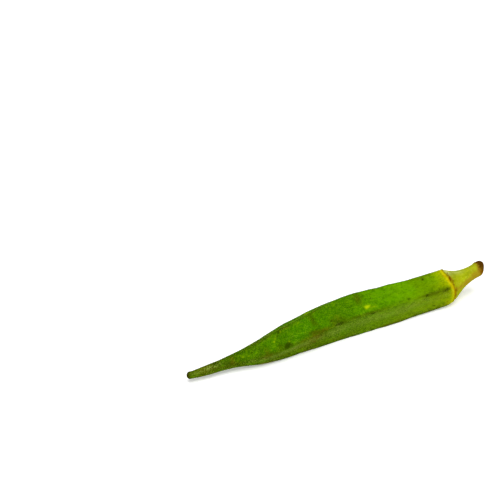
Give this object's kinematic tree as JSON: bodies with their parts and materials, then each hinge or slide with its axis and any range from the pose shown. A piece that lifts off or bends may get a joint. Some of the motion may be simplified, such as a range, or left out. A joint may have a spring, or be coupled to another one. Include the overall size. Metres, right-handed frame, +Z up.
{
  "type": "okra pod",
  "caption": "Fresh okra pod lying on its side: ribbed tapering capsule with a slim beak, a ring scar at the shoulder, a conical cap and a short cut stalk.",
  "frame": {"origin": "on the surface that the pod lies on, under the middle of its length and of its width", "axes": "+X along the pod from the tip of its beak to its cut stalk, +Z up from the surface it lies on"},
  "size_m": [0.1376, 0.0176, 0.0161],
  "materials": {
    "pod_skin": "satin"
  },
  "bodies": {
    "root": {"okra_pod": "pod_skin"}
  },
  "joints": []
}
